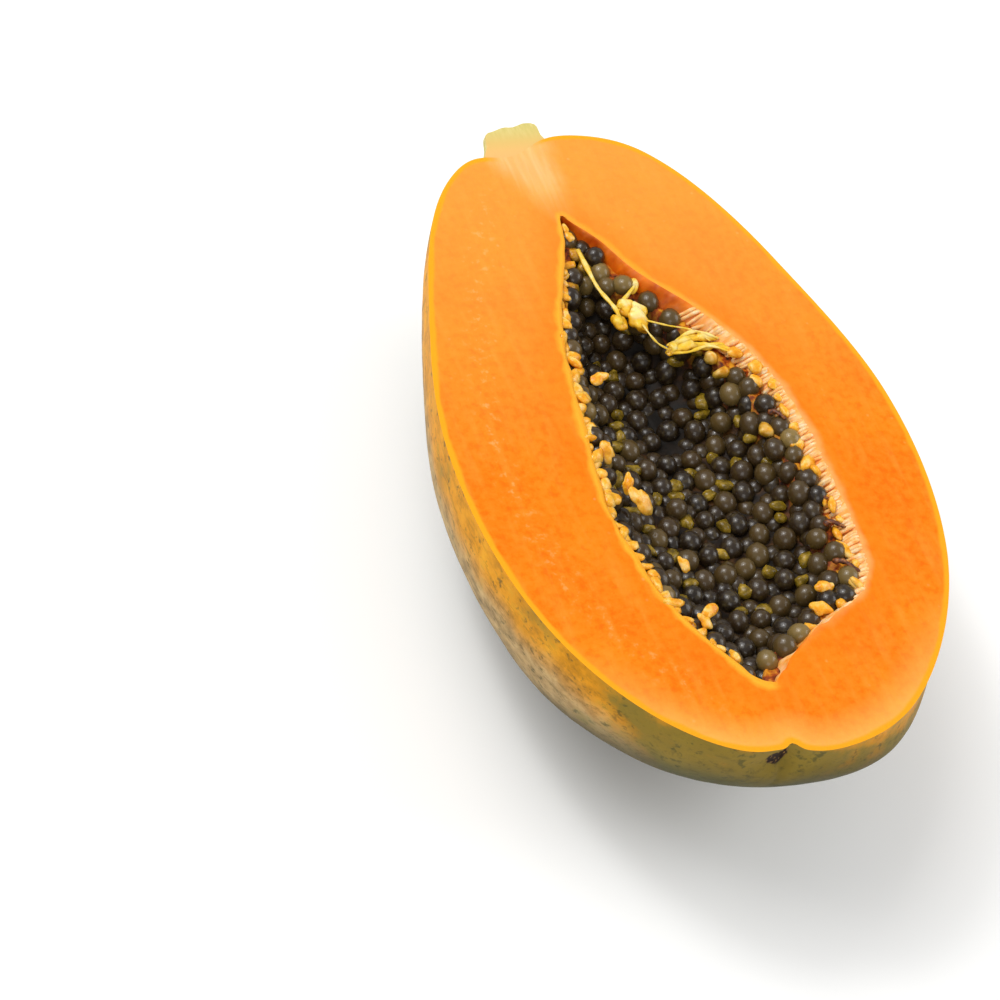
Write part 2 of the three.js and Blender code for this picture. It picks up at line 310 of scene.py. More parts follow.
def hollow_point(p):
    """A point of the unit ball, moved onto the seed hollow's wall."""
    t = turn(p.y)
    ring = max(math.hypot(p.x, p.z), 1e-9)
    middle, half = hollow_edge(t)
    z = p.z / ring * math.sin(t * math.pi) * HOLLOW_DEPTH
    x = middle + half * p.x / ring - flare(half, z) * max(p.x / ring, 0)
    return Vector((x, HOLLOW_LOW + (HOLLOW_HIGH - HOLLOW_LOW) * (1 + p.y) / 2, z))


def wall_spot(y, z, side):
    """The place on the hollow's wall at some height, on its near side (-1) or far side (1)."""
    t = station(y)
    middle, half = hollow_edge(t)
    out = math.sqrt(1 - clamp(z / (math.sin(t * math.pi) * HOLLOW_DEPTH), -1, 1) ** 2)
    return Vector((middle + side * half * out - flare(half, z) * out * max(side, 0), y, z))


def bed_section(t):
    """The bed's middle, half width and depth below its rim at a station."""
    middle, half = hollow_edge(t)
    lean = min(FLARE_WIDTH, FLARE_SHARE * half) / 2
    return middle - lean, max(half - lean - BED_INSET, 0.3 * half), max(along(BED_DEPTH, t), 0)


def station(y):
    """How far round the hollow, 0 to 1, a place along the fruit is."""
    return turn(2 * (y - HOLLOW_LOW) / (HOLLOW_HIGH - HOLLOW_LOW) - 1)


def bed_spot(y, angle):
    """The place on the bed at an angle round its section, and the way out of it."""
    middle, half, depth = bed_section(station(y))
    x = middle - half * math.cos(angle)
    spot = Vector((x, y, -BED_RIM - depth * math.sin(angle)))
    return spot, Vector((depth * math.cos(angle), 0, half * math.sin(angle))).normalized()


def draws(start):
    """Repeatable draws between 0 and 1."""
    state = start
    while True:
        state = state * 16807 % 2147483647
        yield state / 2147483647


def smooth_path(points, steps):
    """Points along a smooth curve that passes through the given ones."""
    ends = [2 * points[0] - points[1], *points, 2 * points[-1] - points[-2]]
    path = []
    for i in range(steps + 1):
        place = i / steps * (len(points) - 1)
        k = min(math.floor(place), len(points) - 2)
        f = place - k
        a, b, c, d = ends[k:k + 4]
        path.append(between(a, b, c, d, f))
    return path


def clear_of_pulp(spot, room):
    """Whether a spot is clear of the strands and blobs of pulp."""
    for radius, points in STRANDS:
        for start, end in zip(points, points[1:]):
            _, share = intersect_point_line(spot, Vector(start), Vector(end))
            near = Vector(start).lerp(Vector(end), clamp(share, 0, 1))
            if (near - spot).length <= radius + room:
                return False
    return all((Vector(at) - spot).length > size[1] + room for at, size in PULP_BLOBS)


def has_room(spot, others, apart):
    """Whether a spot is far enough from all the others."""
    return all((other - spot).length > apart for other in others)


def seed_places(draw):
    """Where the seeds stand, by the rule that the solids follow."""
    longest = SEED_ALONG * (SEED_SMALLEST + SEED_SPREAD)
    places = []
    for _ in range(SEED_TRIES):
        at_y, at_angle, lift, grown, turn_x, turn_y = (next(draw) for _ in range(6))
        spot, inward = bed_spot(SEEDS_FROM + (SEEDS_TO - SEEDS_FROM) * at_y, math.pi * at_angle)
        roots = (root for root, *_ in places)
        if has_room(spot, roots, SEED_APART) and clear_of_pulp(spot, longest + GAP):
            centre = spot + inward * SEED_LIFT * lift
            places.append((spot, centre, SEED_SMALLEST + SEED_SPREAD * grown,
                           (math.pi * turn_x, math.pi * turn_y)))
    return places


# Materials

def shade(code):
    """Linear colour of an sRGB hex value."""
    parts = [int(code[i:i + 2], 16) / 255 for i in (1, 3, 5)]
    linear = [c / 12.92 if c <= 0.04045 else ((c + 0.055) / 1.055) ** 2.4 for c in parts]
    return (*linear, 1.0)


def node(tree, kind, inputs=(), stops=(), **settings):
    """Adds a shader node with its settings, its values and links by socket, and its colour stops."""
    made = tree.nodes.new("ShaderNode" + kind)
    for name, value in settings.items():
        setattr(made, name, value)
    for name, value in dict(inputs).items():
        named = made.inputs[name] if isinstance(name, int) else None
        socket = named or next(s for s in made.inputs if s.enabled and s.name == name)
        if isinstance(value, bpy.types.Node):
            value = next(s for s in value.outputs if s.enabled)
        if isinstance(value, bpy.types.NodeSocket):
            tree.links.new(value, socket)
        else:
            socket.default_value = shade(value) if isinstance(value, str) else value
    for i, (place, colour) in enumerate(stops):
        stop = made.color_ramp.elements[i] if i < 2 else made.color_ramp.elements.new(place)
        stop.position = place
        stop.color = shade(colour)
    return made


def new_material(name, surface):
    """A material with its principled shader, whose surface values are set, joined to the output."""
    made = bpy.data.materials.new(name)
    made.use_nodes = True
    made.node_tree.nodes.clear()
    shader = node(made.node_tree, "BsdfPrincipled", surface)
    node(made.node_tree, "OutputMaterial", {"Surface": shader.outputs[0]})
    return made, made.node_tree, shader


def millimetres(tree):
    """Place on the fruit in millimetres, from the blossom end and the cut face."""
    place = node(tree, "TexCoord").outputs["Object"]
    return node(tree, "Mapping", {"Vector": place, "Location": -FRUIT_AT,
                                  "Scale": (1 / METRE, 1 / METRE, 1 / METRE)})


def join(tree, shader, colour, height, strength, distance):
    """Links a colour and a bump height to the shader."""
    bump = node(tree, "Bump", {"Height": height, "Strength": strength, "Distance": distance * METRE})
    tree.links.new(next(s for s in colour.outputs if s.enabled), shader.inputs["Base Color"])
    tree.links.new(bump.outputs[0], shader.inputs["Normal"])


def stalk_tissue(tree, split):
    """The colour of the cut tissue between the flesh and the stalk, from orange to pale green."""
    height = node(tree, "MapRange", {"Value": split.outputs["Y"], "From Min": 152, "From Max": 184})
    return node(tree, "ValToRGB", {"Fac": height}, stops=[
        (0.0, "#FFAA55"), (0.35, "#F7A85A"), (0.55, "#F0AA62"), (0.72, "#E4B066"),
        (0.84, "#D8B464"), (1.0, "#CCBE72")])


def cell_layers(tree, place, grain):
    """Light and dark clusters of cells, and soft streaks along the fruit."""
    light = node(tree, "MapRange", {"Value": grain, "From Min": 0.42, "From Max": 0.72, "To Max": 0.4})
    dark = node(tree, "MapRange", {"Value": grain, "From Min": 0.46, "From Max": 0.3, "To Max": 0.5})
    drawn_out = node(tree, "Mapping", {"Vector": place, "Rotation": (0, 0, 0.25), "Scale": (1, 0.12, 1)})
    streaks = node(tree, "TexNoise", {"Vector": drawn_out, "Scale": 1 / 2.6, "Detail": 3})
    streak = node(tree, "MapRange", {"Value": streaks, "From Min": 0.5, "From Max": 0.75, "To Max": 0.25})
    return [(light, "#FF942C"), (dark, "#E46004"), (streak, "#FFA040")]


def off_stalk_line(tree, split, wobble):
    """How far a place is from the wavering line between the stalk and the hollow's tip."""
    lean = node(tree, "Math", {0: split.outputs["Y"], 1: 0.16, 2: -19.5}, operation="MULTIPLY_ADD")
    off_line = node(tree, "Math", {0: split.outputs["X"], 1: lean}, operation="ADD")
    off_line = node(tree, "Math", {0: wobble, 1: 4.0, 2: off_line}, operation="MULTIPLY_ADD")
    off_line = node(tree, "Math", {0: off_line, 1: -2.0}, operation="ADD")
    return node(tree, "Math", {0: off_line}, operation="ABSOLUTE")


def stalk_end_layers(tree, place, split, off_line):
    """Flesh that gets paler towards the stalk, and palest in the wedge of stalk tissue that runs
    down to the hollow's tip, with its pale threads."""
    towards_stalk = node(tree, "MapRange", {"Value": split.outputs["Y"], "From Min": 80, "From Max": 172,
                                            "To Max": 0.68})
    width = node(tree, "MapRange", {"Value": split.outputs["Y"], "From Min": 150, "From Max": 177,
                                    "To Min": 2.5, "To Max": 9.5})
    wedge = node(tree, "Math", {0: off_line, 1: width}, operation="DIVIDE")
    wedge = node(tree, "MapRange", {"Value": wedge, "From Min": 1.4, "From Max": 0.3},
                 interpolation_type="SMOOTHSTEP")
    high = node(tree, "MapRange", {"Value": split.outputs["Y"], "From Min": 143, "From Max": 166})
    wedge = node(tree, "Math", {0: wedge, 1: high}, operation="MULTIPLY")
    drawn_down = node(tree, "Mapping", {"Vector": place, "Rotation": (0, 0, -0.16), "Scale": (1, 0.1, 1)})
    threads = node(tree, "TexNoise", {"Vector": drawn_down, "Scale": 1 / 1.8, "Detail": 3,
                                      "Distortion": 0.4})
    thread = node(tree, "MapRange", {"Value": threads, "From Min": 0.42, "From Max": 0.7, "To Max": 0.24})
    thread = node(tree, "Math", {0: thread, 1: wedge}, operation="MULTIPLY")
    return [(towards_stalk, "#FFA044"), (wedge, stalk_tissue(tree, split)), (thread, "#FFD9A4")]


def band_layers(tree, split, from_skin, from_hollow):
    """Paler flesh inside the skin at the blossom end, a painted highlight on the rounded rim, and a
    deeper orange band beside the hollow.
    """
    low = node(tree, "MapRange", {"Value": split.outputs["Y"], "From Min": 34, "From Max": 8})
    # Painted highlight: paler flesh near the skin at the blossom end.
    lip_highlight = node(tree, "MapRange", {"Value": from_skin, "From Min": 9, "From Max": 1.5, "To Max": 0.7})
    lip_highlight = node(tree, "Math", {0: lip_highlight, 1: low}, operation="MULTIPLY")
    beside = node(tree, "MapRange", {"Value": from_hollow, "From Min": 9, "From Max": 2, "To Max": 0.45})
    return [(lip_highlight, "#FFB457"), (beside, "#F4790C")]


def burst_cell_layer(tree, place, patches):
    """Pale flecks where the knife burst small groups of cells."""
    flecks = node(tree, "TexVoronoi", {"Vector": place, "Scale": 1 / 3.4, "Randomness": 1})
    fleck = node(tree, "MapRange", {"Value": flecks.outputs["Distance"], "From Min": 0.15,
                                    "From Max": 0.05, "To Max": 0.2})
    bruised = node(tree, "MapRange", {"Value": patches, "From Min": 0.5, "From Max": 0.62})
    fleck = node(tree, "Math", {0: fleck, 1: bruised}, operation="MULTIPLY")
    return [(fleck, "#FFC98C")]


def vein_layer(tree, split, from_skin, grain, wobble):
    """Pale flecks of cut veins in a band down the near side, about 11 mm inside the skin."""
    off_vein = node(tree, "Math", {0: wobble, 1: 5.0, 2: from_skin}, operation="MULTIPLY_ADD")
    off_vein = node(tree, "Math", {0: off_vein, 1: -14.0}, operation="ADD")
    off_vein = node(tree, "Math", {0: off_vein}, operation="ABSOLUTE")
    vein = node(tree, "MapRange", {"Value": off_vein, "From Min": 4.5, "From Max": 0.5})
    broken = node(tree, "MapRange", {"Value": grain, "From Min": 0.57, "From Max": 0.7, "To Max": 0.26})
    near_side = node(tree, "MapRange", {"Value": split.outputs["X"], "From Min": -16, "From Max": -24})
    for share in (broken, near_side):
        vein = node(tree, "Math", {0: vein, 1: share}, operation="MULTIPLY")
    return [(vein, "#FFC890")]


def hollow_edge_layers(tree, split, from_hollow, wobble):
    """Torn pale fibres along the hollow's far edge, and yellow tissue along its near edge."""
    far = node(tree, "Attribute", attribute_name="far").outputs["Fac"]
    torn = node(tree, "Math", {0: wobble, 1: 4.0, 2: from_hollow}, operation="MULTIPLY_ADD")
    torn = node(tree, "MapRange", {"Value": torn, "From Min": 4.2, "From Max": 1.8, "To Max": 0.45},
                interpolation_type="SMOOTHSTEP")
    fibrous = node(tree, "MapRange", {"Value": split.outputs["Y"], "From Min": 134, "From Max": 112})
    above_tip = node(tree, "MapRange", {"Value": split.outputs["Y"], "From Min": 24, "From Max": 38})
    for share in (far, fibrous, above_tip):
        torn = node(tree, "Math", {0: torn, 1: share}, operation="MULTIPLY")
    width = node(tree, "Math", {0: wobble, 1: 3.6, 2: -0.2}, operation="MULTIPLY_ADD")
    lining = node(tree, "Math", {0: from_hollow, 1: width}, operation="DIVIDE")
    lining = node(tree, "MapRange", {"Value": lining, "From Min": 1.2, "From Max": 0.5, "To Max": 0.85})
    near = node(tree, "Math", {0: 1.0, 1: far}, operation="SUBTRACT")
    near_tip = node(tree, "MapRange", {"Value": split.outputs["Y"], "From Min": 108, "From Max": 126,
                                       "To Max": 0.6})
    near = node(tree, "Math", {0: near, 1: near_tip}, operation="MAXIMUM")
    lining = node(tree, "Math", {0: lining, 1: near}, operation="MULTIPLY")
    return [(torn, "#FFC17C"), (lining, "#F9AE30")]


def rind_layer(tree, place, split, from_skin, off_line):
    """The golden rind line inside the skin, which stops at the stalk."""
    uneven = node(tree, "TexNoise", {"Vector": place, "Scale": 1 / 9})
    width = node(tree, "Math", {0: uneven, 1: 1.6, 2: 0.7}, operation="MULTIPLY_ADD")
    rind = node(tree, "Math", {0: from_skin, 1: width}, operation="DIVIDE")
    rind = node(tree, "MapRange", {"Value": rind, "From Min": 1.15, "From Max": 0.55},
                interpolation_type="SMOOTHSTEP")
    beside_stalk = node(tree, "MapRange", {"Value": off_line, "From Min": 5, "From Max": 9})
    below_stalk = node(tree, "MapRange", {"Value": split.outputs["Y"], "From Min": 160, "From Max": 150})
    clear = node(tree, "Math", {0: beside_stalk, 1: below_stalk}, operation="MAXIMUM")
    rind = node(tree, "Math", {0: rind, 1: clear}, operation="MULTIPLY")
    return [(rind, "#EFA01C")]


def flesh_material():
    """Ripe papaya flesh, sliced with a knife: moist orange with a soft grain of cell clusters
    about 2 mm wide, a golden rind line at the skin, and paler tissue towards the stalk."""
    made, tree, shader = new_material("flesh, ripe, knife cut", {
        "Roughness": 0.42, "Specular IOR Level": 0.09, "Subsurface Weight": 0.15,
        "Subsurface Radius": (1.0, 0.45, 0.12), "Subsurface Scale": 2.5 * METRE})
    place = millimetres(tree)
    split = node(tree, "SeparateXYZ", {0: place})
    from_skin = node(tree, "Attribute", attribute_name="from_skin").outputs["Fac"]
    from_hollow = node(tree, "Attribute", attribute_name="from_hollow").outputs["Fac"]
    patches = node(tree, "TexNoise", {"Vector": place, "Scale": 1 / 18, "Detail": 2})
    grain = node(tree, "TexNoise", {"Vector": place, "Scale": 1 / 2.2, "Detail": 3, "Roughness": 0.6})
    wobble = node(tree, "TexNoise", {"Vector": place, "Scale": 1 / 7, "Detail": 2})
    off_line = off_stalk_line(tree, split, wobble)
    colour = node(tree, "ValToRGB", {"Fac": patches}, stops=[(0.35, "#F07206"), (0.65, "#F77F0D")])
    for share, tone in [
            *cell_layers(tree, place, grain),
            *stalk_end_layers(tree, place, split, off_line),
            *band_layers(tree, split, from_skin, from_hollow),
            *burst_cell_layer(tree, place, patches),
            *vein_layer(tree, split, from_skin, grain, wobble),
            *hollow_edge_layers(tree, split, from_hollow, wobble),
            *rind_layer(tree, place, split, from_skin, off_line)]:
        colour = node(tree, "Mix", {0: share, "A": colour, "B": tone}, data_type="RGBA")
    pores = node(tree, "TexNoise", {"Vector": place, "Scale": 1 / 0.9, "Detail": 2})
    height = node(tree, "Math", {0: grain, 1: 1.5, 2: pores}, operation="MULTIPLY_ADD")
    join(tree, shader, colour, height, 0.35, 0.25)
    return made


def wall_material():
    """The torn inner wall of the seed hollow: wet red orange flesh under pale fibres about 1 mm
    wide, which run down from the cut on the far side."""
    made, tree, shader = new_material("hollow wall, torn fibres", {
        "Roughness": 0.45, "Specular IOR Level": 0.1, "Subsurface Weight": 0.2,
        "Subsurface Radius": (1.0, 0.45, 0.12), "Subsurface Scale": 2 * METRE})
    place = millimetres(tree)
    split = node(tree, "SeparateXYZ", {0: place})
    stretched = node(tree, "Mapping", {"Vector": place, "Scale": (0.25, 1, 0.35)})
    fibres = node(tree, "TexNoise", {"Vector": stretched, "Scale": 1 / 1.6, "Detail": 2, "Distortion": 0.3})
    lumps = node(tree, "TexNoise", {"Vector": place, "Scale": 1 / 5, "Detail": 2})
    deep = node(tree, "ValToRGB", {"Fac": lumps}, stops=[(0.35, "#B84606"), (0.7, "#E87208")])
    pale = node(tree, "ValToRGB", {"Fac": fibres},
                stops=[(0.36, "#EC9438"), (0.5, "#F8AE5C"), (0.68, "#FFCF98")])
    noisy = node(tree, "Math", {0: lumps, 1: 5.0, 2: split.outputs["Z"]}, operation="MULTIPLY_ADD")
    near_cut = node(tree, "MapRange", {"Value": noisy, "From Min": -4.0, "From Max": -0.5},
                    interpolation_type="SMOOTHSTEP")
    far = node(tree, "Attribute", attribute_name="far").outputs["Fac"]
    yellow = node(tree, "ValToRGB", {"Fac": fibres}, stops=[(0.4, "#E28A10"), (0.65, "#F5B238")])
    fringe = node(tree, "Mix", {0: far, "A": yellow, "B": pale}, data_type="RGBA")
    # Towards the stalk the wall has no fibres, and is bare and red.
    fibrous = node(tree, "MapRange", {"Value": split.outputs["Y"], "From Min": 128, "From Max": 112},
                   interpolation_type="SMOOTHSTEP")
    at_edge = node(tree, "MapRange", {"Value": noisy, "From Min": 0.8, "From Max": 2.4, "To Max": 0.15})
    fibrous = node(tree, "Math", {0: fibrous, 1: at_edge}, operation="MAXIMUM")
    near_cut = node(tree, "Math", {0: near_cut, 1: fibrous}, operation="MULTIPLY")
    colour = node(tree, "Mix", {0: near_cut, "A": deep, "B": fringe}, data_type="RGBA")
    join(tree, shader, colour, fibres, 0.6, 0.5)
    return made


def dull_layer(tree, split, broad, mottle):
    """Away from the cut the gold turns to a dull grey brown, in patches."""
    dulled = node(tree, "Math", {0: broad, 1: 22.0, 2: split.outputs["Z"]}, operation="MULTIPLY_ADD")
    dulled = node(tree, "MapRange", {"Value": dulled, "From Min": 5, "From Max": -8, "To Max": 0.92},
                  interpolation_type="SMOOTHSTEP")
    dull = node(tree, "ValToRGB", {"Fac": mottle},
                stops=[(0.3, "#7E6842"), (0.5, "#B09464"), (0.72, "#CEB280")])
    return [(dulled, dull)]


def green_layer(tree, split, broad, mottle):
    """Green patches, most of all towards the ends."""
    from_middle = node(tree, "Math", {0: split.outputs["Y"], 1: -LENGTH / 2}, operation="ADD")
    from_middle = node(tree, "Math", {0: from_middle}, operation="ABSOLUTE")
    ends = node(tree, "MapRange", {"Value": from_middle, "From Min": 40, "From Max": 90, "To Max": 0.16})
    green = node(tree, "Math", {0: broad, 1: ends}, operation="ADD")
    green = node(tree, "Math", {0: mottle, 1: 0.4, 2: green}, operation="MULTIPLY_ADD")
    green = node(tree, "MapRange", {"Value": green, "From Min": 0.72, "From Max": 0.92, "To Max": 0.8},
                 interpolation_type="SMOOTHSTEP")
    return [(green, "#66662A")]


def mark_layers(tree, place, split, streaks):
    """Dark streaks, fainter beside the cut, and dark spots."""
    streak = node(tree, "MapRange", {"Value": streaks, "From Min": 0.52, "From Max": 0.7, "To Max": 0.6})
    room = node(tree, "MapRange", {"Value": split.outputs["Z"], "From Min": -1, "From Max": -7,
                                   "To Min": 0.25})
    streak = node(tree, "Math", {0: streak, 1: room}, operation="MULTIPLY")
    spots = node(tree, "TexNoise", {"Vector": place, "Scale": 1 / 2.4, "Detail": 3, "Roughness": 0.6})
    spot = node(tree, "MapRange", {"Value": spots, "From Min": 0.6, "From Max": 0.69, "To Max": 0.65})
    return [(streak, "#4C4420"), (spot, "#3E4220")]


def underside_shade_layer(tree, split, broad):
    """Painted shade on the underside: a dark green back, which comes up higher under the blossom end."""
    # Painted shade: darkens the skin towards its underside.
    back = node(tree, "Math", {0: broad, 1: 16.0, 2: split.outputs["Z"]}, operation="MULTIPLY_ADD")
    under_tip = node(tree, "MapRange", {"Value": split.outputs["Y"], "From Min": 0, "From Max": 45,
                                        "To Min": -22, "To Max": 0})
    back = node(tree, "Math", {0: back, 1: under_tip}, operation="ADD")
    back = node(tree, "MapRange", {"Value": back, "From Min": -14, "From Max": -30, "To Max": 0.82},
                interpolation_type="SMOOTHSTEP")
    return [(back, "#36371A")]


def scar_layers(tree, place):
    """The flower's scar: dark and dry, with paler worn flakes."""
    bent = node(tree, "TexNoise", {"Vector": place, "Scale": 1 / 2})
    scar_at = node(tree, "VectorMath", {0: place, 1: SCAR_AT}, operation="SUBTRACT")
    scar_at = node(tree, "VectorMath", {0: scar_at, 1: (1 / 2.1, 0.2, 1 / 2.4)}, operation="MULTIPLY")
    scar = node(tree, "VectorMath", {0: scar_at}, operation="LENGTH").outputs["Value"]
    scar = node(tree, "Math", {0: bent, 1: 0.7, 2: scar}, operation="MULTIPLY_ADD")
    dark = node(tree, "MapRange", {"Value": scar, "From Min": 1.6, "From Max": 1.4})
    flakes = node(tree, "TexNoise", {"Vector": place, "Scale": 1 / 1.1})
    worn = node(tree, "MapRange", {"Value": flakes, "From Min": 0.56, "From Max": 0.64, "To Max": 0.6})
    worn = node(tree, "Math", {0: worn, 1: dark}, operation="MULTIPLY")
    return [(dark, "#241208"), (worn, "#B08448")]


def skin_material():
    """Ripening papaya skin: waxy and dull gold, with grey brown streaks about 1 mm wide along the
    fruit, green patches towards the ends, painted shade on the back, and a small scar where the flower was."""
    made, tree, shader = new_material("skin, waxy, half ripe", {
        "Roughness": 0.5, "Specular IOR Level": 0.07, "Subsurface Weight": 0.08,
        "Subsurface Radius": (1.0, 0.5, 0.1), "Subsurface Scale": 1.5 * METRE})
    place = millimetres(tree)
    split = node(tree, "SeparateXYZ", {0: place})
    broad = node(tree, "TexNoise", {"Vector": place, "Scale": 1 / 26, "Detail": 3, "Roughness": 0.55})
    mottle = node(tree, "TexNoise", {"Vector": place, "Scale": 1 / 6, "Detail": 5, "Roughness": 0.68})
    drawn_out = node(tree, "Mapping", {"Vector": place, "Scale": (1, 0.25, 1)})
    streaks = node(tree, "TexNoise", {"Vector": drawn_out, "Scale": 1 / 1.6, "Detail": 4, "Roughness": 0.7})
    colour = node(tree, "ValToRGB", {"Fac": mottle},
                  stops=[(0.3, "#B4780E"), (0.5, "#DC9414"), (0.7, "#E8A41E")])
    for share, tone in [
            *dull_layer(tree, split, broad, mottle),
            *green_layer(tree, split, broad, mottle),
            *mark_layers(tree, place, split, streaks),
            *underside_shade_layer(tree, split, broad),
            *scar_layers(tree, place)]:
        colour = node(tree, "Mix", {0: share, "A": colour, "B": tone}, data_type="RGBA")
    height = node(tree, "Math", {0: mottle, 1: 0.6, 2: streaks}, operation="MULTIPLY_ADD")
    join(tree, shader, colour, height, 0.25, 0.3)
    return made


def seed_material():
    """Papaya seeds in their wet coats: dark olive brown, each a little different, under a clear
    jelly skin that gives small sharp highlights."""
    made, tree, shader = new_material("seed, wet in its coat", {
        "Roughness": 0.45, "Specular IOR Level": 0.2, "Coat Weight": 1.0, "Coat Roughness": 0.17,
        "Coat IOR": 1.38})
    place = millimetres(tree)
    tone = node(tree, "Attribute", attribute_name="tone").outputs["Fac"]
    mottle = node(tree, "TexNoise", {"Vector": place, "Scale": 1 / 1.2, "Detail": 3})
    colour = node(tree, "ValToRGB", {"Fac": tone},
                  stops=[(0.0, "#20150A"), (0.4, "#3A2912"), (0.8, "#54411E"), (1.0, "#88703C")])
    light = node(tree, "MapRange", {"Value": mottle, "From Min": 0.48, "From Max": 0.75, "To Max": 0.45})
    colour = node(tree, "Mix", {0: light, "A": colour, "B": "#5C4E2A"}, data_type="RGBA")
    join(tree, shader, colour, mottle, 0.25, 0.15)
    return made


def pulp_material():
    """Seed pulp, wet, so that light sinks into it: olive deep between the seeds, darkened there by
    painted shade, and clear yellow to peach where it comes up to the cut."""
    made, tree, shader = new_material("pulp, wet yellow fibre", {
        "Roughness": 0.25, "IOR": 1.38, "Subsurface Weight": 0.3, "Subsurface Radius": (1.0, 0.7, 0.15),
        "Subsurface Scale": 2 * METRE})
    place = millimetres(tree)
    split = node(tree, "SeparateXYZ", {0: place})
    mottle = node(tree, "TexNoise", {"Vector": place, "Scale": 1 / 2, "Detail": 3})
    deep = node(tree, "ValToRGB", {"Fac": mottle},
                stops=[(0.3, "#4E3E0C"), (0.5, "#7E6616"), (0.7, "#B09034")])
    bright = node(tree, "ValToRGB", {"Fac": mottle},
                  stops=[(0.32, "#DC8C10"), (0.5, "#F2AC2C"), (0.68, "#F8CC78")])
    # Painted shade: the lower the pulp lies, the darker olive it is.
    high = node(tree, "MapRange", {"Value": split.outputs["Z"], "From Min": -4.5, "From Max": -1.5})
    colour = node(tree, "Mix", {0: high, "A": deep, "B": bright}, data_type="RGBA")
    join(tree, shader, colour, mottle, 0.4, 0.3)
    return made


def strand_material():
    """Strands of pulp, thin and wet: yellow, with painted shade where they lie low in the folds,
    and a painted cream highlight in a few places where they lie high.
    """
    made, tree, shader = new_material("pulp strands, cream and yellow", {
        "Roughness": 0.25, "IOR": 1.38, "Subsurface Weight": 0.35,
        "Subsurface Radius": (1.0, 0.8, 0.25), "Subsurface Scale": 2 * METRE})
    place = millimetres(tree)
    split = node(tree, "SeparateXYZ", {0: place})
    mottle = node(tree, "TexNoise", {"Vector": place, "Scale": 1 / 2.4, "Detail": 3})
    # Painted shade and highlight: darker where a strand lies low, cream where it lies high.
    height = node(tree, "MapRange", {"Value": split.outputs["Z"], "From Min": -3.5, "From Max": -0.8})
    height = node(tree, "Math", {0: mottle, 1: 0.9, 2: height}, operation="MULTIPLY_ADD")
    height = node(tree, "MapRange", {"Value": height, "From Min": 0.4, "From Max": 1.4})
    colour = node(tree, "ValToRGB", {"Fac": height},
                  stops=[(0.0, "#A06C08"), (0.35, "#DC9C14"), (0.7, "#EFBE38"), (1.0, "#F8DE90")])
    join(tree, shader, colour, mottle, 0.35, 0.3)
    return made


def fringe_material():
    """Torn ends of flesh fibres, pale peach with deeper orange between them, and wet."""
    made, tree, shader = new_material("fringe fibre, pale and wet", {
        "Roughness": 0.35, "Specular IOR Level": 0.35, "Subsurface Weight": 0.3,
        "Subsurface Radius": (1.0, 0.5, 0.2), "Subsurface Scale": 2 * METRE})
    place = millimetres(tree)
    mottle = node(tree, "TexNoise", {"Vector": place, "Scale": 1 / 1.8, "Detail": 3})
    colour = node(tree, "ValToRGB", {"Fac": mottle},
                  stops=[(0.3, "#F5A24C"), (0.5, "#FDBE78"), (0.7, "#FFDCB0")])
    join(tree, shader, colour, mottle, 0.3, 0.2)
    return made


def shred_material():
    """Shreds of dried seed coat: dark reddish brown, dull, with lighter worn edges."""
    made, tree, shader = new_material("seed coat, dried brown", {"Roughness": 0.5})
    place = millimetres(tree)
    mottle = node(tree, "TexNoise", {"Vector": place, "Scale": 1 / 0.8, "Detail": 3})
    colour = node(tree, "ValToRGB", {"Fac": mottle},
                  stops=[(0.35, "#3A1A08"), (0.55, "#6E3410"), (0.75, "#B0702C")])
    join(tree, shader, colour, mottle, 0.4, 0.2)
    return made


def bed_material():
    """The seeds' bed: wet dark brown, which is painted shade in the gaps between the seeds, with olive and
    orange patches.
    """
    made, tree, shader = new_material("seed bed, painted shade in gaps", {
        "Roughness": 0.6, "Specular IOR Level": 0.2})
    place = millimetres(tree)
    mottle = node(tree, "TexNoise", {"Vector": place, "Scale": 1 / 3.5, "Detail": 3})
    edge = node(tree, "Attribute", attribute_name="edge").outputs["Fac"]
    # Painted shade: dark brown, for the shaded gaps between the seeds.
    colour = node(tree, "ValToRGB", {"Fac": mottle},
                  stops=[(0.4, "#140C05"), (0.56, "#2C1A08"), (0.72, "#5A3812")])
    beside_wall = node(tree, "MapRange", {"Value": edge, "From Min": 0.85, "From Max": 1.1})
    torn = node(tree, "TexNoise", {"Vector": place, "Scale": 1 / 2.2, "Detail": 3})
    strip = node(tree, "ValToRGB", {"Fac": torn},
                 stops=[(0.36, "#3A1606"), (0.5, "#A4480A"), (0.64, "#E09A20")])
    colour = node(tree, "Mix", {0: beside_wall, "A": colour, "B": strip}, data_type="RGBA")
    # Painted shade: near black in the pocket.
    deep = node(tree, "Attribute", attribute_name="pocket_shade").outputs["Fac"]
    colour = node(tree, "Mix", {0: deep, "A": colour, "B": "#0C0804"}, data_type="RGBA")
    join(tree, shader, colour, mottle, 0.6, 0.6)
    return made


